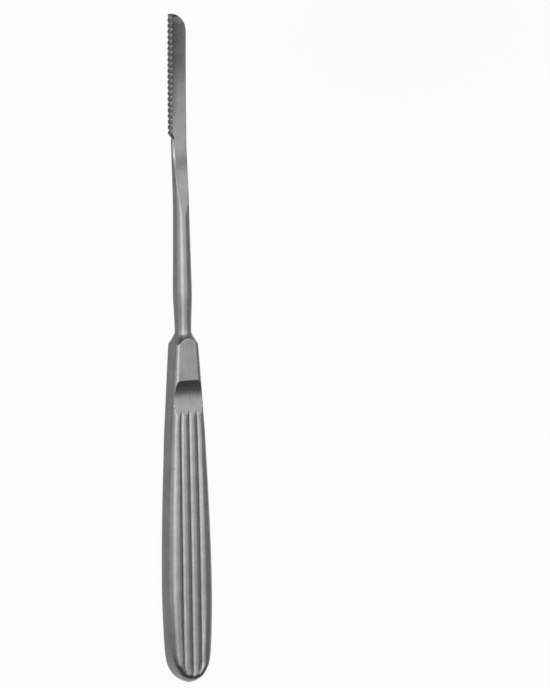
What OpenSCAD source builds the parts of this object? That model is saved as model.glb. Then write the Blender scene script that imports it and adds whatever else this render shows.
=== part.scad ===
// Straight surgical rasp, forged and ground from one bar of stainless steel.
// Lies on its back: tip at +Y, thumb face at +Z, width along X, lowest points on Z = 0.

/* [Overall] */
// Length from the round end of the handle to the tip
total_len = 210; // [195:1:235]

/* [Handle] */
// Length of the handle up to the foot of its shoulder
handle_len = 106.4; // [98:0.2:112]
// Distance from the round end to the widest place
belly_at = 30; // [22:1:38]
// Width at the widest place
belly_w = 16.1; // [13:0.1:18]
// Thickness at the widest place
belly_t = 8.4; // [7.8:0.1:10]
// Corner radius at the widest place
belly_r = 3.5; // [1.8:0.1:3.8]
// Width at the shoulder
collar_w = 7.9; // [7.4:0.1:10]
// Thickness at the shoulder
collar_t = 7; // [6.4:0.1:7.6]
// Corner radius at the shoulder
collar_r = 1.3; // [0.8:0.1:2]
// Length over which the end rounds off, seen from above
end_round = 11.5; // [9:0.5:17]
// Length over which the end rounds off, seen from the side
end_edge = 4.4; // [2:0.1:6]
// Width lost by the end before its rounding
end_loss = 2.2; // [0:0.1:3]
// Length of the cone that turns the square handle into the round neck
shoulder_len = 4.4; // [3:0.1:7]

/* [Flutes] */
// Distance between the three grooves on each face
flute_pitch = 2.95; // [2.4:0.05:3.2]
// Width of a groove
flute_w = 1.15; // [0.8:0.05:1.6]
// Depth of a groove
flute_d = 0.5; // [0.2:0.05:0.8]
// Height of the crown on each land between grooves
land_crown = 0.14; // [0:0.02:0.3]

/* [Thumb scoop] */
// Distance from the round end to the middle of the scoop
scoop_at = 90.2; // [80:0.2:96]
// Length of the scoop along the handle
scoop_len = 11; // [7:0.2:14]
// Depth of the scoop
scoop_d = 1.4; // [0.8:0.1:2]

/* [Shaft] */
// Diameter of the neck at the shoulder
neck_d = 5.2; // [4.4:0.1:5.6]
// Diameter of the swelling after the neck
swell_d = 6; // [5.4:0.1:6.6]
// Distance from the shoulder to the swelling
swell_at = 13; // [8:0.5:20]
// Diameter of the thin end at the blade
waist_d = 4.9; // [4.2:0.1:5.2]
// Length of the flat that is ground on the front of the shaft
facet_len = 24; // [18:1:36]
// Length over which the round shaft turns into the blade's section
blend_len = 12; // [6:0.5:18]

/* [Blade] */
// Length of the blade from heel to tip
blade_len = 38.6; // [30:0.2:46]
// Width of the blade
blade_w = 5.6; // [4.6:0.1:6.5]
// Thickness from the rims to the crown of the back
blade_t = 3.3; // [2.8:0.1:4]
// How far the smooth face lies below the axis
blade_drop = 0.9; // [0.4:0.1:1.4]
// Depth of the hollow in the smooth face
hollow_d = 0.3; // [0:0.05:0.8]
// Length over which the hollow starts from the heel
hollow_in = 9; // [3:0.5:16]
// Width of the toothed bevel along the left rim
bevel = 0.6; // [0.3:0.1:1.1]
// Height of the crown across the toothed back
back_crown = 0.8; // [0.3:0.05:1.2]
// Rise of the tip above the straight line of the blade
blade_bow = 1; // [0:0.1:3]
// Length over which the smooth face rounds down to the tip
tip_round = 3; // [2:0.2:5]
// Length over which the right wall sweeps round to the toothed side at the tip
tip_sweep = 6; // [2.4:0.2:8]
// Width that is left at the end of the tip
tip_w = 1.2; // [1:0.1:3]
// Thickness that is left at the end of the tip
tip_t = 1.4; // [1:0.1:2.4]

/* [Teeth] */
// Distance from one tooth to the next
tooth_pitch = 1.76; // [1.4:0.02:2.6]
// Depth of the teeth
tooth_d = 0.45; // [0.2:0.05:0.8]
// Plain length of the heel before the first tooth
heel_len = 1; // [0.6:0.1:2]
// How far the toothed faces step out from the shaft at the heel
heel_step = 0.75; // [0.3:0.05:1]

/* [Hidden] */
steel = [0.62, 0.62, 0.62];
axis_z = belly_t / 2;              // height of the shaft's axis above the table
neck_y = handle_len + shoulder_len;
blade_y = total_len - blade_len;   // heel of the blade
facet_y = blade_y - facet_len;
blend_y = blade_y - blend_len;
scoop_r = (scoop_len * scoop_len / 4 + scoop_d * scoop_d) / (2 * scoop_d);
flute_top = scoop_at - scoop_len / 2;
flute_reach = flute_pitch + flute_w / 2 + 0.1;
end_r = 2.2;                       // least corner radius, round the end
rim_r = 0.25;                      // rounding of the smooth rim
shoulder_r = 0.5;                  // rounding between the walls and the back
plain_tip = 0.6;                   // plain length between the last tooth and the tip
tooth_count = floor((blade_len - heel_len - plain_tip) / tooth_pitch);

// Blends
function mix(a, b, t) = a + (b - a) * t;
function unit(t) = min(1, max(0, t));
function ease(t) = let (u = unit(t)) u * u * (3 - 2 * u);
// Quarter ellipse: 0 at the very end, 1 from the distance r on
function rounded(s, r) = sqrt(1 - pow(1 - min(1, max(s, 0.08) / r), 2));
function between(a, b, n) = [for (i = [1:n]) mix(a, b, i / n)];

// A row of n points from [x0, z0] to [x1, z1], which sinks or rises by h in the middle
function row(x0, z0, x1, z1, n, h = 0) =
    [for (i = [0:n - 1]) let (t = i / (n - 1)) [mix(x0, x1, t), mix(z0, z1, t) + 4 * h * t * (1 - t)]];
// A corner of four points, from angle a over 90 degrees clockwise
function corner(x, z, r, a) = [for (i = [0:3]) [x + r * cos(a - 30 * i), z + r * sin(a - 30 * i)]];
function centre(points) = [for (i = [0:len(points) - 1]) 1] * points / len(points);
function flip(points) = [for (i = [len(points) - 1:-1:0]) [points[i][0], -points[i][1]]];

// Every section has 44 points, seen along +Y and clockwise: the front from left to right (14),
// two corners of 4, the back from right to left (14), and two corners of 4.

// Handle: a rounded rectangle with three grooves on each face
function taper(s) = pow(unit((s - belly_at) / (handle_len - belly_at)), 1.65);
function wide(s) = s < belly_at
    ? belly_w - end_loss * pow(1 - s / belly_at, 2)
    : mix(belly_w, collar_w, taper(s));
function width_at(s) = wide(s) * rounded(s, end_round);
function thick_at(s) = mix(belly_t, collar_t, taper(s)) * rounded(s, end_edge);
// The grooves stay parallel as far as they reach, so the corners get sharper round the end
function radius_at(s) = min(mix(belly_r, collar_r, taper(s)), 0.4 * width_at(s), 0.45 * thick_at(s),
    max(width_at(s) / 2 - flute_reach, end_r));

// One face from left to right, z up: h is the half thickness, flat the half width of its flat.
// Inner and outer say how deep the middle groove and the two beside it are, from 0 to 1.
function face(h, flat, inner, outer) =
    let (k = min(1, flat / flute_reach), e = k * flute_w / 2)
    [for (g = [-1:1])
        let (full = g == 0 ? inner : outer, c = land_crown * full, d = flute_d * full + c)
        each concat(
            [for (p = [[-e, c], [-e * 0.4, d], [e * 0.4, d], [e, c]])
                [g * k * flute_pitch + p[0], h - p[1]]],
            g < 1 ? [[(g + 0.5) * k * flute_pitch, h]] : [])];

function handle_ring(s) =
    let (w = width_at(s) / 2, h = thick_at(s) / 2, r = radius_at(s),
         inner = ease((s - 0.8) / 2.5), outer = ease((s - 2.8) / 3.2),
         up = s < scoop_at ? 1 : 0, under = unit((flute_top - s) / 2),
         front = face(h, w - r, inner * up, outer * up),
         back = face(h, w - r, inner * under, outer * under),
         ring = concat(front, corner(w - r, h - r, r, 90), corner(w - r, r - h, r, 0),
                       flip(back), corner(r - w, r - h, r, 270), corner(r - w, h - r, r, 180)))
    [for (p = ring) [p[0], min(p[1], scoop_floor(s))]];

// The scoop is a cylinder across the thumb face
function scoop_floor(s) =
    let (d = s - scoop_at)
    abs(d) > scoop_len / 2 ? 1000
        : thick_at(scoop_at) / 2 + scoop_r - scoop_d - sqrt(scoop_r * scoop_r - d * d);

// Shoulder: the collar's section inside a cone that narrows to the neck
function shoulder_ring(s) =
    let (t = (s - handle_len) / shoulder_len,
         corner_reach = norm([collar_w / 2 - collar_r, collar_t / 2 - collar_r]) + collar_r,
         reach = mix(corner_reach, neck_d / 2, 1 - pow(1 - t, 1.25)))
    [for (p = handle_ring(handle_len)) p * min(1, reach / norm(p))];

// Shaft: round, then with a flat ground on its front that leans back to the blade's face
function shaft_r(s) = (s < neck_y + swell_at
    ? mix(neck_d, swell_d, ease((s - neck_y) / swell_at))
    : mix(swell_d, waist_d, sin(90 * unit((s - neck_y - swell_at) / (facet_y + 20 - neck_y - swell_at))))) / 2;
function lean(s) = -blade_drop * ease((s - facet_y) / facet_len);
function facet_z(s) = mix(shaft_r(facet_y), -blade_drop, unit((s - facet_y) / facet_len));
ring_angles = concat([for (i = [0:13]) 132 - 84 * i / 13], [40, 28, 16, 5, -5, -16, -28, -40],
                     [for (i = [0:13]) -48 - 84 * i / 13], [220, 208, 196, 185, 175, 164, 152, 140]);
function shaft_ring(s) =
    let (r = shaft_r(s), top = s < facet_y ? 1000 : facet_z(s), t = ease((s - blend_y) / blend_len),
         heel = s > blend_y ? blade_at(blade_y, heel_step) : [])
    [for (i = [0:len(ring_angles) - 1])
        let (a = ring_angles[i], p = [r * cos(a), min(r * sin(a) + lean(s), top)])
        s > blend_y ? mix(p, [heel[i][0], min(heel[i][1] - lean(blade_y) + lean(s), top)], t) : p];

// Blade: hollow front, smooth right wall at x = r, crowned back. Cut is the depth of the teeth
// there, which are on the back, the left wall and the left bevel. Full is 1, or less at the tip.
function blade_ring(r, t, cut, full, hollow) =
    let (l = -blade_w / 2 + cut, b = bevel * full, s = shoulder_r * full,
         back = t - cut, side = max(back - back_crown * full, 0.5 * back))
    concat(
        row(l + b, 0, r - rim_r * full, 0, 14, -hollow * full),
        [[r - 0.07 * full, -0.07 * full], [r, -rim_r * full], [r, -side * 0.4], [r, -side * 0.6]],
        [[r, -side * 0.8], [r - 0.1 * s, -side + 0.3 * s], [r - 0.4 * s, -side - 0.05 * s],
         [r - s, -side - 0.25 * s]],
        row(r - 1.3 * s, -side - 0.33 * s, l + 1.3 * s, -side - 0.33 * s, 14, -(back - side - 0.33 * s)),
        [[l + s, -side - 0.25 * s], [l + 0.4 * s, -side - 0.05 * s], [l + 0.1 * s, -side + 0.3 * s],
         [l, -side * 0.8]],
        [[l, -side * 0.62], [l, -b - 0.05], [l + 0.2 * b, -0.8 * b], [l + 0.6 * b, -0.4 * b]]);

function bow(s) = blade_bow * pow(unit((s - blade_y) / blade_len), 2);
// At the tip the right wall sweeps over to the left one, and the smooth face curves down
function blade_at(s, cut) =
    let (left = total_len - s,
         r = mix(tip_w - blade_w / 2, blade_w / 2, rounded(left, tip_sweep)),
         t = mix(tip_t, blade_t, rounded(left, tip_round)),
         low = -blade_drop - (blade_t - t) + bow(s))
    [for (p = blade_ring(r, t, cut, t / blade_t, hollow_d * ease((s - blade_y) / hollow_in)))
        [p[0], p[1] + low]];

// A tooth: from the root up a slope to the crest, and a steep drop that faces the tip
tooth = [[0.1, 1], [0.76, 0]];

// Stations along the axis, each with its section
handle_stations = concat(
    [for (t = [0, 0.025, 0.06, 0.12, 0.2, 0.3, 0.42, 0.56, 0.75, 1]) t * end_round],
    between(end_round, belly_at, 2), between(belly_at, flute_top - 2, 6), [flute_top - 0.01],
    between(flute_top + 0.01, flute_top + scoop_len - 0.01, 10), [flute_top + scoop_len + 0.01],
    between(flute_top + scoop_len + 0.01, handle_len, 2));
shaft_stations = concat(between(neck_y, neck_y + swell_at, 5), between(neck_y + swell_at, facet_y, 3),
                        between(facet_y, blend_y, 5),
                        between(blend_y, blade_y, 6));
sections = concat(
    [for (s = handle_stations) [s, handle_ring(s)]],
    [for (s = between(handle_len, neck_y, 6)) [s, shoulder_ring(s)]],
    [for (s = shaft_stations) if (s > neck_y + 1) [s, shaft_ring(s)]],
    [[blade_y + heel_len * 0.8, blade_at(blade_y + heel_len * 0.8, 0)]],
    [for (k = [0:tooth_count - 1], q = tooth)
        let (s = blade_y + heel_len + (k + q[0]) * tooth_pitch) [s, blade_at(s, q[1] * tooth_d)]],
    [for (q = [1.25, 0.85, 0.6, 0.38, 0.2, 0.08, 0])
        let (s = total_len - q * plain_tip) [s, blade_at(s, 0)]]);

// Skins a list of [station, section] into one closed solid
module loft(list) {
    n = len(list[0][1]);
    last = len(list) - 1;
    middle = [for (k = [0, last]) let (c = centre(list[k][1])) [c[0], list[k][0], c[1]]];
    points = concat([for (ring = list, p = ring[1]) [p[0], ring[0], p[1]]], middle);
    sides = [for (k = [0:len(list) - 2], i = [0:n - 1])
        let (j = (i + 1) % n, a = k * n, b = a + n)
        each [[a + i, b + i, b + j], [a + i, b + j, a + j]]];
    caps = [for (i = [0:n - 1])
        let (j = (i + 1) % n, m = len(points) - 2)
        each [[i, j, m], [last * n + j, last * n + i, m + 1]]];
    polyhedron(points, concat(sides, caps), convexity = 6);
}

// The whole instrument is one forging, so its three lengths share one skin
module rasp() {
    color(steel) translate([0, -total_len / 2, axis_z]) loft(sections);
}

rasp();
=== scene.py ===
"""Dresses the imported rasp: one piece of satin ground stainless steel on a pale studio floor."""

import math

import bpy
import numpy as np
from bpy.props import FloatProperty, FloatVectorProperty, PointerProperty, StringProperty
from mathutils import Matrix, Vector


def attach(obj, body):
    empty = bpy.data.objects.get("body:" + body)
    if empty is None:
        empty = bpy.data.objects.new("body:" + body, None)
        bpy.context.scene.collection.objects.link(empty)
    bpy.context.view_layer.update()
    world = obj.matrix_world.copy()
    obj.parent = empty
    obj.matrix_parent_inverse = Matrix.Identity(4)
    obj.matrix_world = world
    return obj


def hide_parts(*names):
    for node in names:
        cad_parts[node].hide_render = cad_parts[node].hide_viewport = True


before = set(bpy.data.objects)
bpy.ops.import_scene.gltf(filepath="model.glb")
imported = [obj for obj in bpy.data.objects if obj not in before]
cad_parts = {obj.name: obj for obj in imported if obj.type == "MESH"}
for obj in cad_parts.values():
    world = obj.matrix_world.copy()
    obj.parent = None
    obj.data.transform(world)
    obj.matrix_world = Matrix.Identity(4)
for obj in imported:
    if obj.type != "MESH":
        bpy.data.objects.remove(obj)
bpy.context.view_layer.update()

bl_info = {
    "name": "Surgical Rasp",
    "version": (1, 0, 0),
    "blender": (4, 5, 0),
    "location": "View3D > Sidebar > Rasp",
    "description": "A one-piece steel rasp with a fluted handle, and the studio that shows it",
    "category": "Add Mesh",
}


def length(name, description, default):
    """A size in metres that the sidebar shows in the scene's own unit."""
    return FloatProperty(name=name, description=description, default=default, min=0.0,
                         precision=5, unit="LENGTH", subtype="DISTANCE")


class HandleSizes(bpy.types.PropertyGroup):
    total: length("Overall length", "Round end of the handle to the tip", 0.210)
    handle: length("Handle length", "Round end to the foot of the shoulder", 0.1068)
    belly_at: length("Belly place", "Round end to the widest place", 0.030)
    belly_w: length("Belly width", "Width at the widest place", 0.0161)
    belly_t: length("Belly thickness", "Thickness at the widest place", 0.0084)
    belly_r: length("Belly corner", "Corner radius at the widest place", 0.0035)
    collar_w: length("Collar width", "Width at the shoulder", 0.0079)
    collar_t: length("Collar thickness", "Thickness at the shoulder", 0.0070)
    collar_r: length("Collar corner", "Corner radius at the shoulder", 0.0013)
    end_round: length("End rounding, plan", "Length of the round end seen from above", 0.0112)
    end_edge: length("End rounding, side", "Length of the round end seen from the side", 0.0026)
    end_loss: length("End taper", "Width lost between the belly and the end", 0.003)
    end_r: length("End corner", "Least corner radius round the end", 0.0022)
    shoulder: length("Shoulder", "Length of the cone down to the neck", 0.0037)
    flute_pitch: length("Groove spacing", "Distance between the three grooves at the belly", 0.0031)
    flute_w: length("Groove width", "Width of each groove", 0.0014)
    flute_d: length("Groove depth", "Depth of each groove", 0.00032)
    crown: length("Land crown", "Height of the crown between grooves", 0.00014)
    scoop_at: length("Scoop place", "Round end to the middle of the thumb scoop", 0.0902)
    scoop_len: length("Scoop length", "Length of the scoop along the handle", 0.011)
    scoop_d: length("Scoop depth", "Depth of the scoop", 0.0009)


class ShaftSizes(bpy.types.PropertyGroup):
    neck_d: length("Neck", "Diameter where the shaft leaves the shoulder", 0.0052)
    swell_d: length("Swelling", "Diameter of the swelling after the neck", 0.0060)
    swell_at: length("Swelling place", "Shoulder to the swelling", 0.013)
    waist_d: length("Waist", "Diameter at the blade", 0.0049)
    facet: length("Front flat", "Length of the flat ground on the shaft", 0.024)
    blend: length("Blend", "Length over which the shaft turns into the blade", 0.012)


class BladeSizes(bpy.types.PropertyGroup):
    blade: length("Blade length", "Heel to tip", 0.0386)
    width: length("Blade width", "Width across the rims", 0.0056)
    thick: length("Blade thickness", "Rims to the crown of the back", 0.0033)
    drop: length("Face drop", "Smooth face below the shaft's axis", 0.0009)
    hollow: length("Hollow", "Depth of the hollow in the smooth face", 0.00012)
    hollow_in: length("Hollow start", "Length over which the hollow starts from the heel", 0.009)
    bevel: length("Toothed bevel", "Width of the bevel along the left rim", 0.0006)
    back_crown: length("Back crown", "Height of the crown across the toothed back", 0.0008)
    rim_r: length("Rim rounding", "Rounding of the smooth rim", 0.00025)
    edge_r: length("Back edge rounding", "Rounding between walls and back", 0.0005)
    bow: length("Bow", "Rise of the tip above the straight line", 0.001)
    tip_round: length("Tip rounding", "Length over which the face rounds down", 0.003)
    tip_sweep: length("Tip sweep", "Length over which the right wall sweeps to the teeth", 0.006)
    tip_w: length("Tip width", "Width left at the very tip", 0.0012)
    tip_t: length("Tip thickness", "Thickness left at the very tip", 0.0014)
    pitch: length("Tooth pitch", "One tooth to the next", 0.00176)
    tooth: length("Tooth depth", "Depth of the teeth", 0.00031)
    heel: length("Heel", "Length of the slope from the heel up to the first tooth", 0.001)
    heel_step: length("Heel step", "Step from the shaft out to the toothed faces", 0.00075)
    plain_tip: length("Plain tip", "Plain length after the last tooth", 0.0006)
    tip_cut: length("Plain tip step", "How far the plain tip lies inside the full section", 0.0003)


class SteelLook(bpy.types.PropertyGroup):
    steel: StringProperty(name="Satin steel", description="sRGB hex of the ground faces", default="808080")
    # the darker grey of the tooth lands is painted shade, so that each tooth reads as a dark bar
    cut: StringProperty(name="Cut steel", description="sRGB hex of the tooth lands", default="585858")
    rough: FloatProperty(name="Roughness", description="Roughness of the satin faces", default=0.27,
                         min=0.0, max=1.0, subtype="FACTOR")
    grain: length("Grain width", "Width of one line left by the belt", 0.0003)


class StudioLook(bpy.types.PropertyGroup):
    turn: FloatProperty(name="Turn", description="Camera swung towards the left side",
                        default=math.radians(28), subtype="ANGLE", unit="ROTATION")
    tilt: FloatProperty(name="Tilt", description="Camera swung towards the tip",
                        default=math.radians(6), subtype="ANGLE", unit="ROTATION")
    roll: FloatProperty(name="Roll", description="Lean of the tip to the left in the picture",
                        default=math.radians(0.8), subtype="ANGLE", unit="ROTATION")
    far: length("Camera distance", "Camera to the middle of the rasp", 2.0)
    span: length("Picture height", "What the picture's height covers", 0.2152)
    aim: FloatVectorProperty(name="Aim", size=2, default=(0.0287, 0.0017), unit="LENGTH",
                             description="Picture's middle from the rasp's middle, right and up")
    floor: length("Floor", "Width of the floor", 6.0)
    off: length("Box distance", "Soft boxes to the rasp", 2.5)
    key: FloatProperty(name="Key", description="Radiance of the big soft box overhead", default=1.65)
    crown: FloatProperty(name="Crown", description="Radiance added near the camera", default=1.5)
    left: FloatProperty(name="Left", description="Radiance of the low box on the left", default=1.2)
    right: FloatProperty(name="Right", description="Radiance of the low box on the right", default=0.5)


# Small maths
VERY_END = 0.00008   # a rounding never closes further than it does this near the very end


def mix(a, b, t):
    return a + (b - a) * t


def unit(t):
    """t held between 0 and 1."""
    return min(1.0, max(0.0, t))


def ease(t):
    """From 0 to 1 with soft ends."""
    t = unit(t)
    return t * t * (3 - 2 * t)


def rounded(s, r):
    """Quarter ellipse: nearly 0 at the very end, 1 from the distance r on."""
    return math.sqrt(1 - (1 - min(1.0, max(s, VERY_END) / r)) ** 2)


def inner(a, b, n):
    """n values strictly between a and b."""
    return np.linspace(a, b, n + 2)[1:-1]


def pairs(x, z):
    """A row of points from two rows of values, or from one value and a row."""
    return np.stack(np.broadcast_arrays(x, z), 1)


def arc(x, z, r, a, b, n):
    """n points inside the arc about x and z from the angle a to the angle b, in degrees."""
    t = np.radians(inner(a, b, n))
    return pairs(x + r * np.cos(t), z + r * np.sin(t))


# Sections. Each one is the same ring of points: front left to right, corner, right side, corner,
# back right to left, corner, left side, corner.
GROOVE = 11   # points across a groove
LAND = 3      # points on a land between two grooves
OUTER = 4     # points on a land beside a corner
FACE = 3 * GROOVE + 2 * LAND + 2 * OUTER
CORNER = 9
SIDE = 5
TOOTHED = FACE + 2 * CORNER + SIDE - 4   # the blade is toothed from here on, inside its right back corner

TAPER = 1.65               # power of the handle's taper, which is slow at the belly
FAN = 0.82                 # share of the groove spacing that is left at the collar
PAST = 1.1                 # the points across a groove reach this far, in half widths
FIT = 0.97                 # share of the flat part that the grooves may fill
FLOOR_POWER = 0.8          # under 1, a groove has a rounder floor
BESIDE = 0.0001            # between an outer groove and the corner
CORNER_W = 0.8             # most that a corner may take of half the width
CORNER_T = 0.9             # most that a corner may take of half the thickness
RUN_IN = ((0.0008, 0.0025), (0.0028, 0.0032))   # start and length of the run-in: middle groove, outer ones
RUN_OUT = 0.006            # the grooves of the back fade out over this length
SHOULDER_POWER = 1.25      # over 1, the cone is a little hollow
THINNING = 0.02            # the shaft thins until this far past the start of its flat
WALL = 0.5                 # least share of the blade's thickness that its walls keep
EDGE_TURN = 75             # degrees of the rounding between a wall and the back
BACK_DROP = 0.33           # the back starts this share of that rounding under the wall
EDGE = 0.00002             # two stations this far apart make a sharp edge


def fluted(h, flat, middle, beside, fan, sz):
    """One face of the handle from left to right, with z up. The grooves draw together by fan."""
    reach = sz.flute_pitch * fan + sz.flute_w * (PAST / 2)
    k = min(1.0, flat * FIT / reach)
    pitch = sz.flute_pitch * fan
    x, z = [], []
    for g in (-1, 0, 1):
        t = np.linspace(-PAST, PAST, GROOVE)
        full = middle if g == 0 else beside
        dip = np.where(abs(t) < 1, (0.5 + 0.5 * np.cos(math.pi * t)) ** FLOOR_POWER, 0)
        x.append(k * (g * pitch + t * sz.flute_w / 2))
        z.append(h - full * (sz.crown + sz.flute_d * dip))
        if g < 1:
            t = inner(0, 1, LAND)
            x.append(k * ((g + 0.5) * pitch + (t - 0.5) * (pitch - PAST * sz.flute_w)))
            z.append(h - full * sz.crown * (2 * t - 1) ** 2)
    t = np.linspace(0, 1, OUTER, endpoint=False)
    left = mix(-flat, -k * reach, t)
    edge = h - beside * sz.crown * t ** 2
    x = [left] + x + [-left[::-1]]
    z = [edge] + z + [edge[::-1]]
    return pairs(np.concatenate(x), np.concatenate(z))


def turned(points):
    """The same face on the back, from right to left."""
    return (points * (1, -1))[::-1]


def tapered(s, sz):
    """0 at the belly and 1 at the collar."""
    return unit((s - sz.belly_at) / (sz.handle - sz.belly_at)) ** TAPER


def handle_section(s, sz):
    """Fluted front and back, rounded corners, and the thumb scoop cut off the front."""
    taper = tapered(s, sz)
    if s < sz.belly_at:
        w = sz.belly_w - sz.end_loss * (1 - s / sz.belly_at) ** 2
    else:
        w = mix(sz.belly_w, sz.collar_w, taper)
    w *= rounded(s, sz.end_round) / 2
    h = mix(sz.belly_t, sz.collar_t, taper) * rounded(s, sz.end_edge) / 2
    fan = mix(1, FAN, taper)
    reach = sz.flute_pitch + sz.flute_w / 2 + BESIDE
    r = min(mix(sz.belly_r, sz.collar_r, taper), CORNER_W * w, CORNER_T * h, max(w - reach, sz.end_r))
    middle, beside = [ease((s - start) / run) for start, run in RUN_IN]
    top = sz.scoop_at - sz.scoop_len / 2
    up, under = float(s < sz.scoop_at), ease((top - s) / RUN_OUT)
    ring = np.concatenate([
        fluted(h, w - r, middle * up, beside * up, fan, sz),
        arc(w - r, h - r, r, 90, 0, CORNER),
        pairs(w, np.linspace(h - r, r - h, SIDE)),
        arc(w - r, r - h, r, 0, -90, CORNER),
        turned(fluted(h, w - r, middle * under, beside * under, fan, sz)),
        arc(r - w, r - h, r, 270, 180, CORNER),
        pairs(-w, np.linspace(r - h, h - r, SIDE)),
        arc(r - w, h - r, r, 180, 90, CORNER),
    ])
    d = s - sz.scoop_at
    if abs(d) <= sz.scoop_len / 2:
        face = mix(sz.belly_t, sz.collar_t, tapered(sz.scoop_at, sz)) / 2
        r = (sz.scoop_len ** 2 / 4 + sz.scoop_d ** 2) / (2 * sz.scoop_d)
        ring[:, 1] = np.minimum(ring[:, 1], face + r - sz.scoop_d - math.sqrt(r * r - d * d))
    return ring


def shoulder_section(s, sz, shaft):
    """The collar's section inside a cone that narrows to the neck."""
    t = (s - sz.handle) / sz.shoulder
    ring = handle_section(sz.handle, sz)
    corner = math.hypot(sz.collar_w / 2 - sz.collar_r, sz.collar_t / 2 - sz.collar_r) + sz.collar_r
    reach = mix(corner, shaft.neck_d / 2, 1 - (1 - t) ** SHOULDER_POWER)
    return ring * np.minimum(1, reach / np.linalg.norm(ring, axis=1))[:, None]


def shaft_section(s, sz, shaft, blade):
    """Round, then with a flat on the front that leans back to the blade's face."""
    neck = sz.handle + sz.shoulder
    heel = sz.total - blade.blade
    start = heel - shaft.facet

    def radius(s):
        if s < neck + shaft.swell_at:
            return mix(shaft.neck_d, shaft.swell_d, ease((s - neck) / shaft.swell_at)) / 2
        t = unit((s - neck - shaft.swell_at) / (start + THINNING - neck - shaft.swell_at))
        return mix(shaft.swell_d, shaft.waist_d, math.sin(math.pi / 2 * t)) / 2

    t = unit((s - start) / shaft.facet)
    angles = np.radians(np.concatenate([
        np.linspace(130, 50, FACE), inner(50, 15, CORNER), np.linspace(15, -15, SIDE),
        inner(-15, -50, CORNER), np.linspace(-50, -130, FACE), inner(-130, -165, CORNER),
        np.linspace(-165, -195, SIDE), inner(-195, -230, CORNER)]))
    r = radius(s)
    lean = -blade.drop * ease(t)
    ring = pairs(r * np.cos(angles), r * np.sin(angles) + lean)
    blend = ease((s - heel + shaft.blend) / shaft.blend)
    if s > start:
        top = mix(radius(start), -blade.drop, t)
        ring[:, 1] = np.minimum(ring[:, 1], top)
        if blend > 0:
            end = blade_section(heel, blade.heel_step, sz, blade)
            end[:, 1] = np.minimum(end[:, 1] + blade.drop + lean, top)
            ring = mix(ring, end, blend)
    return ring


def blade_section(s, cut, sz, blade):
    """Hollow front, smooth right wall, and teeth on the back, the left wall and the left bevel.
    At the tip the right wall sweeps over to the left one, and the smooth face curves down."""
    left = sz.total - s
    r = mix(blade.tip_w - blade.width / 2, blade.width / 2, rounded(left, blade.tip_sweep))
    t = mix(blade.tip_t, blade.thick, rounded(left, blade.tip_round))
    full = t / blade.thick
    hollow = blade.hollow * full * ease((s - sz.total + blade.blade) / blade.hollow_in)
    l, b, e, rim = cut - blade.width / 2, blade.bevel * full, blade.edge_r * full, blade.rim_r * full
    back = t - cut
    side = max(back - blade.back_crown * full, WALL * back)
    u = np.linspace(0, 1, FACE)
    low = side + BACK_DROP * e
    ring = np.concatenate([
        pairs(mix(l + b, r - rim, u), -4 * hollow * u * (1 - u)),
        arc(r - rim, -rim, rim, 90, 0, CORNER),
        pairs(r, np.linspace(-rim, -side + e, SIDE)),
        arc(r - e, e - side, e, 0, -EDGE_TURN, CORNER),
        pairs(mix(r - e, l + e, u), -low - 4 * (back - low) * u * (1 - u)),
        arc(l + e, e - side, e, 180 + EDGE_TURN, 180, CORNER),
        pairs(l, np.linspace(-side + e, -b, SIDE)),
        pairs(inner(l, l + b, CORNER), inner(-b, 0, CORNER)),
    ])
    rise = blade.bow * unit(1 - left / blade.blade) ** 2
    ring[:, 1] += rise - blade.drop - (blade.thick - t)
    return ring


# A tooth and the groove after it: place along the pitch, and how much of the depth is cut there
TOOTH = ((0.03, 0.38), (0.09, 0.3), (0.36, 0.3), (0.44, 0.38), (0.56, 0.72), (0.70, 1.0), (0.80, 0.98),
         (0.92, 0.68))
PAINTED_SHADE_END = 0.6               # up to this place the tooth's land and its front flank take the darker steel, painted shade that makes each tooth a dark bar and hides the flank's glint; then the groove's steel
LAST = 0.02                  # the plain tip starts this share of a pitch after the last groove
PLAIN, TOP, ROOT = 0, 1, 2   # what a station is, and the number of its material

# How many stations each stretch has, and the powers that draw them together at the two ends
STEPS = {"end": 30, "grip": 46, "scoop": 48, "collar": 10, "shoulder": 25, "shaft": 70, "tip": 24}
END_POWER = 1.8
TIP_POWER = 0.6


def sections(sz, shaft, blade):
    """Every station from the round end to the tip, with its ring and what it is."""
    out = []
    top = sz.scoop_at - sz.scoop_len / 2
    end = top + sz.scoop_len
    stations = np.concatenate([
        sz.end_round * np.linspace(0, 1, STEPS["end"], endpoint=False) ** END_POWER,
        np.linspace(sz.end_round, top - EDGE, STEPS["grip"]),
        np.linspace(top + EDGE, end - EDGE, STEPS["scoop"]),
        np.linspace(end + EDGE, sz.handle, STEPS["collar"])])
    out += [(s, handle_section(s, sz), PLAIN) for s in stations]
    neck = sz.handle + sz.shoulder
    cone = np.linspace(sz.handle, neck, STEPS["shoulder"])[1:-1]
    out += [(s, shoulder_section(s, sz, shaft), PLAIN) for s in cone]
    heel = sz.total - blade.blade
    out += [(s, shaft_section(s, sz, shaft, blade), PLAIN) for s in np.linspace(neck, heel, STEPS["shaft"])]
    first = heel + blade.heel
    count = math.floor((blade.blade - blade.heel - blade.plain_tip) / blade.pitch + 1e-6)
    for k in range(count):
        for at, depth in TOOTH:
            s = first + (k + at) * blade.pitch
            # lands and front flanks take the darker steel, which carries painted shade
            part = TOP if at < PAINTED_SHADE_END else ROOT
            out.append((s, blade_section(s, depth * blade.tooth, sz, blade), part))
    last = first + (count + LAST) * blade.pitch
    for q in np.linspace(0, 1, STEPS["tip"]) ** TIP_POWER:
        s = mix(last, sz.total, q)
        out.append((s, blade_section(s, blade.tip_cut, sz, blade), PLAIN))
    return out


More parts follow.
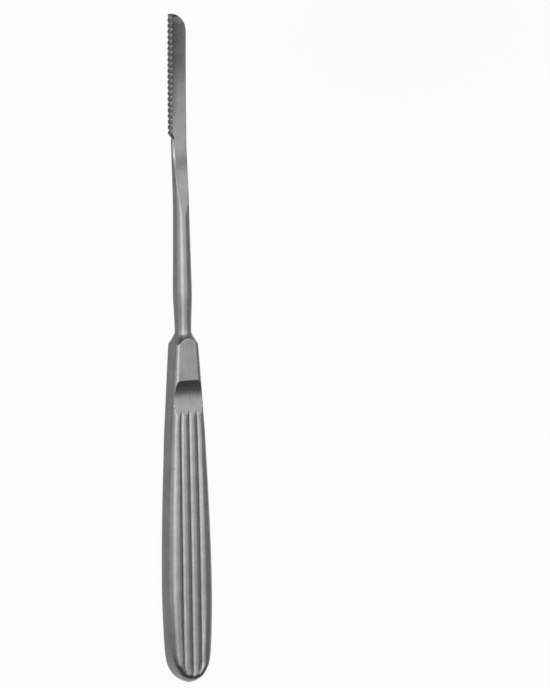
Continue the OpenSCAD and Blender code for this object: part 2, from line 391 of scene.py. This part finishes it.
def skin(rings):
    """Quads between neighbouring rings, and one flat face over each end."""
    n = len(rings[0])
    faces = [(a + i, a + (i + 1) % n, a + n + (i + 1) % n, a + n + i)
             for a in range(0, (len(rings) - 1) * n, n) for i in range(n)]
    last = (len(rings) - 1) * n
    caps = [tuple(range(n))[::-1], tuple(last + i for i in range(n))]
    return faces, caps


# Materials
LINE_RATIO = 60             # a line of the grain is this many times as long as it is wide
SHEEN = (-0.03, 0.04)       # how far the grain moves the roughness
CLOUD = 0.004               # metres across a cloud of darker or paler steel
TONE = 0.08                 # how much darker or paler the clouds are
NOISE = (0.3, 0.7)          # range that the noise fills in practice
BUMP = 0.1                  # strength of the grain's relief
GLOW_SEEN = 0.93            # share of its own white in the paper, as the camera sees it
GLOW_MIRRORED = 0.3         # the same for what the steel mirrors
NET_OPEN = 0.34             # share of the light that passes the net
ROOM = 0.15                 # grey of the studio's walls
SHARP = 32                  # degrees: from this angle on, the shading has an edge


def linear(code):
    """sRGB hex to a linear colour."""
    parts = [int(code[i:i + 2], 16) / 255 for i in (0, 2, 4)]
    return (*[c / 12.92 if c <= 0.04045 else ((c + 0.055) / 1.055) ** 2.4 for c in parts], 1.0)


def node(tree, kind, links=None, sockets=None, **settings):
    """Adds a node with its settings, its socket values and its links."""
    n = tree.nodes.new(kind)
    for key, value in settings.items():
        setattr(n, key, value)
    for key, value in (sockets or {}).items():
        n.inputs[key].default_value = value
    for key, value in (links or {}).items():
        tree.links.new(value, n.inputs[key])
    return n


def ground_steel(name, colour, rough, grain, depth):
    """Stainless steel ground lengthwise on a fine belt, then bead-dulled: a soft grey sheen with
    faint lines along the piece. The real lines are about 0.05 mm wide and are drawn wider to show."""
    mat = bpy.data.materials.new(name)
    mat.use_nodes = True
    tree = mat.node_tree
    tree.nodes.clear()
    place = node(tree, "ShaderNodeTexCoord").outputs["Object"]
    along = node(tree, "ShaderNodeMapping", {"Vector": place},
                 {"Scale": (1 / grain, 1 / (grain * LINE_RATIO), 1 / grain)})
    lines = node(tree, "ShaderNodeTexNoise", {"Vector": along.outputs[0]},
                 {"Scale": 1.0, "Detail": 3.0, "Roughness": 0.6})
    cloud = node(tree, "ShaderNodeTexNoise", {"Vector": place},
                 {"Scale": 1 / CLOUD, "Detail": 2.0, "Roughness": 0.5})
    sheen = node(tree, "ShaderNodeMapRange", {"Value": lines.outputs["Fac"]},
                 {"From Min": NOISE[0], "From Max": NOISE[1],
                  "To Min": rough + SHEEN[0], "To Max": rough + SHEEN[1]})
    tone = node(tree, "ShaderNodeValToRGB", {"Fac": cloud.outputs["Fac"]})
    for stop, at, share in zip(tone.color_ramp.elements, NOISE, (1 - TONE, 1 + TONE)):
        stop.position = at
        stop.color = (*[c * share for c in linear(colour)[:3]], 1)
    bump = node(tree, "ShaderNodeBump", {"Height": lines.outputs["Fac"]},
                {"Strength": BUMP, "Distance": depth})
    shader = node(tree, "ShaderNodeBsdfPrincipled",
                  {"Base Color": tone.outputs["Color"], "Roughness": sheen.outputs["Result"],
                   "Normal": bump.outputs["Normal"]}, {"Metallic": 1.0})
    node(tree, "ShaderNodeOutputMaterial", {"Surface": shader.outputs[0]})
    return mat


def pale_floor():
    """Matt white studio paper. Camera rays see it as the white background, and rays from the
    steel see it paler where it is lit and darker in the rasp's own shadow."""
    mat = bpy.data.materials.new("matt_white_paper")
    mat.use_nodes = True
    tree = mat.node_tree
    tree.nodes.clear()
    path = node(tree, "ShaderNodeLightPath")
    mirror = node(tree, "ShaderNodeMath", operation="MAXIMUM",
                  links={0: path.outputs["Is Glossy Ray"], 1: path.outputs["Is Transmission Ray"]})
    part = node(tree, "ShaderNodeMath", {0: mirror.outputs[0]}, {1: GLOW_MIRRORED}, operation="MULTIPLY")
    share = node(tree, "ShaderNodeMath", {0: path.outputs["Is Camera Ray"], 2: part.outputs[0]},
                 {1: GLOW_SEEN}, operation="MULTIPLY_ADD")
    paper = node(tree, "ShaderNodeBsdfDiffuse", sockets={"Color": linear("DCDCDC"), "Roughness": 0.9})
    glow = node(tree, "ShaderNodeEmission", sockets={"Color": (1, 1, 1, 1), "Strength": 1.0})
    both = node(tree, "ShaderNodeMixShader", {0: share.outputs[0], 1: paper.outputs[0], 2: glow.outputs[0]})
    node(tree, "ShaderNodeOutputMaterial", {"Surface": both.outputs[0]})
    return mat


def black_net():
    """Black net stretched on a frame: it lets a part of the light through, and has no sheen."""
    mat = bpy.data.materials.new("black_net")
    mat.use_nodes = True
    tree = mat.node_tree
    tree.nodes.clear()
    thread = node(tree, "ShaderNodeBsdfDiffuse", sockets={"Color": linear("161616"), "Roughness": 1.0})
    mesh = node(tree, "ShaderNodeBsdfTransparent")
    both = node(tree, "ShaderNodeMixShader", {1: thread.outputs[0], 2: mesh.outputs[0]}, {0: NET_OPEN})
    node(tree, "ShaderNodeOutputMaterial", {"Surface": both.outputs[0]})
    return mat


def studio_world(scene):
    """A dim studio, so that steel which looks past the soft box and the floor goes dark."""
    world = bpy.data.worlds.new("dim_studio")
    scene.world = world
    world.use_nodes = True
    tree = world.node_tree
    tree.nodes.clear()
    room = node(tree, "ShaderNodeBackground", sockets={"Color": (ROOM, ROOM, ROOM, 1), "Strength": 1.0})
    node(tree, "ShaderNodeOutputWorld", {"Surface": room.outputs[0]})


class RASP_OT_body(bpy.types.Operator):
    """Builds the rasp as one smooth steel body in place of its solid"""
    bl_idname = "rasp.body"
    bl_label = "Rasp body"

    def execute(self, context):
        scene = context.scene
        sz, shaft, blade, look = scene.rasp_handle, scene.rasp_shaft, scene.rasp_blade, scene.rasp_steel
        listed = sections(sz, shaft, blade)
        points = np.concatenate([np.column_stack([ring[:, 0], np.full(len(ring), s - sz.total / 2),
                                                  ring[:, 1] + sz.belly_t / 2]) for s, ring, _ in listed])
        faces, caps = skin([ring for _, ring, _ in listed])
        mesh = bpy.data.meshes.new("rasp_body")
        mesh.from_pydata(points.tolist(), [], faces + caps)
        mesh.validate()
        for name, colour, duller, depth in (
                # the body, with a soft shine
                ("satin_ground_stainless_steel", look.steel, 0.0, 0.00003),
                # the tops and front flanks of the teeth: duller, and darker with painted shade, so that
                # each tooth reads as a dark bar
                ("tooth_steel_with_painted_shade", look.cut, 0.1, 0.00002),
                # the grooves between the teeth, too rough for a sharp glint
                ("milled_stainless_steel", look.steel, 0.25, 0.00002)):
            mesh.materials.append(ground_steel(name, colour, look.rough + duller, look.grain, depth))
        n = len(listed[0][1])
        index = np.zeros(len(mesh.polygons), dtype=np.int32)
        # toothed faces between two tooth stations take the darker steel with painted shade, or the rougher
        # groove steel
        for k in range(len(listed) - 1):
            here, there = listed[k][2], listed[k + 1][2]
            if PLAIN not in (here, there):
                index[k * n + TOOTHED:(k + 1) * n] = max(here, there)
        mesh.polygons.foreach_set("material_index", index)
        mesh.shade_smooth()
        mesh.set_sharp_from_angle(angle=math.radians(SHARP))
        body = bpy.data.objects.new("rasp_body", mesh)
        scene.collection.objects.link(body)
        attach(body, "root")
        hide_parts("rasp")
        return {"FINISHED"}


# Soft boxes: name, which way it hangs from the rasp, and its width and length for each metre of distance
BOXES = (
    ("key", (-0.16, 0.29, 0.94), (2.3, 1.16)),     # overhead, so that all the front faces shine
    ("crown", (-0.42, 0.28, 0.87), (0.6, 1.16)),   # beside the camera, for the bright line on each crown
    ("left", (-0.94, 0.28, 0.29), (0.6, 1.16)),    # low, for the left corners
    ("right", (0.85, 0.28, 0.46), (0.75, 1.16)),   # low and faint, for the right corners
)
NET = ((0.012, 0.12), (0.078, 0.15), 0.06)   # between the key box and the blade, which it darkens


class RASP_OT_stage(bpy.types.Operator):
    """Adds the floor, the soft lights, the world and the camera"""
    bl_idname = "rasp.stage"
    bl_label = "Studio"

    def execute(self, context):
        scene = context.scene
        look = scene.rasp_studio
        half = look.floor / 2
        self.sheet(scene, "floor", (-half, half), (-half, half), 0, pale_floor())
        net = self.sheet(scene, "net", *NET, black_net())
        net.visible_camera = False
        studio_world(scene)
        middle = Vector((0, 0, scene.rasp_handle.belly_t / 2))
        for name, way, size in BOXES:
            self.box(scene, name + "_softbox", way, middle, size, getattr(look, name))
        self.camera(scene, look, middle)
        scene.view_settings.view_transform = "Standard"
        return {"FINISHED"}

    def sheet(self, scene, name, x, y, z, material):
        """A flat sheet between two values of x and two of y, at the height z."""
        mesh = bpy.data.meshes.new(name)
        corners = [(x[0], y[0], z), (x[1], y[0], z), (x[1], y[1], z), (x[0], y[1], z)]
        mesh.from_pydata(corners, [], [(0, 1, 2, 3)])
        mesh.materials.append(material)
        obj = bpy.data.objects.new(name, mesh)
        scene.collection.objects.link(obj)
        return obj

    def box(self, scene, name, way, middle, size, radiance):
        """A soft box, level with the length of the rasp. Its size is for each metre of distance."""
        far = scene.rasp_studio.off
        lamp = bpy.data.lights.new(name, "AREA")
        lamp.shape = "RECTANGLE"
        lamp.size, lamp.size_y = size[0] * far, size[1] * far
        lamp.energy = radiance * math.pi * lamp.size * lamp.size_y
        obj = bpy.data.objects.new(name, lamp)
        way = Vector(way).normalized()
        up = (Vector((0, 1, 0)) - way * way.y).normalized()
        turn = Matrix((up.cross(way), up, way)).transposed().to_4x4()
        obj.matrix_world = Matrix.Translation(middle + way * far) @ turn
        obj.visible_camera = False
        scene.collection.objects.link(obj)

    def camera(self, scene, look, middle):
        """The photograph's view: a long lens from the left and a little from the tip."""
        data = bpy.data.cameras.new("camera")
        data.sensor_fit = "AUTO"
        data.sensor_width = 36
        data.lens = data.sensor_width * look.far / look.span
        data.clip_end = 20
        back = Vector((-math.sin(look.turn) * math.cos(look.tilt), math.sin(look.tilt),
                       math.cos(look.turn) * math.cos(look.tilt)))
        up = (Vector((0, 1, 0)) - back * back.y).normalized()
        right = up.cross(back)
        up, right = (up * math.cos(look.roll) + right * math.sin(look.roll),
                     right * math.cos(look.roll) - up * math.sin(look.roll))
        aim = middle + right * look.aim[0] + up * look.aim[1]
        turn = Matrix((right, up, back)).transposed().to_4x4()
        obj = bpy.data.objects.new("camera", data)
        obj.matrix_world = Matrix.Translation(aim + back * look.far) @ turn
        scene.collection.objects.link(obj)
        scene.camera = obj


class RASP_PT_panel(bpy.types.Panel):
    bl_idname = "RASP_PT_panel"
    bl_label = "Rasp"
    bl_space_type = "VIEW_3D"
    bl_region_type = "UI"
    bl_category = "Rasp"

    def draw(self, context):
        for group in GROUPS:
            column = self.layout.column(align=True)
            for name in GROUPS[group].__annotations__:
                column.prop(getattr(context.scene, group), name)
        for operator in OPERATORS:
            self.layout.operator(operator.bl_idname)


GROUPS = {"rasp_handle": HandleSizes, "rasp_shaft": ShaftSizes, "rasp_blade": BladeSizes,
          "rasp_steel": SteelLook, "rasp_studio": StudioLook}
OPERATORS = (RASP_OT_body, RASP_OT_stage)
CLASSES = (*GROUPS.values(), *OPERATORS, RASP_PT_panel)


def register():
    for cls in CLASSES:
        bpy.utils.register_class(cls)
    for name, group in GROUPS.items():
        setattr(bpy.types.Scene, name, PointerProperty(type=group))


def unregister():
    for name in GROUPS:
        delattr(bpy.types.Scene, name)
    for cls in reversed(CLASSES):
        bpy.utils.unregister_class(cls)


def main():
    register()
    bpy.ops.rasp.body()
    bpy.ops.rasp.stage()


if __name__ == "__main__":
    main()
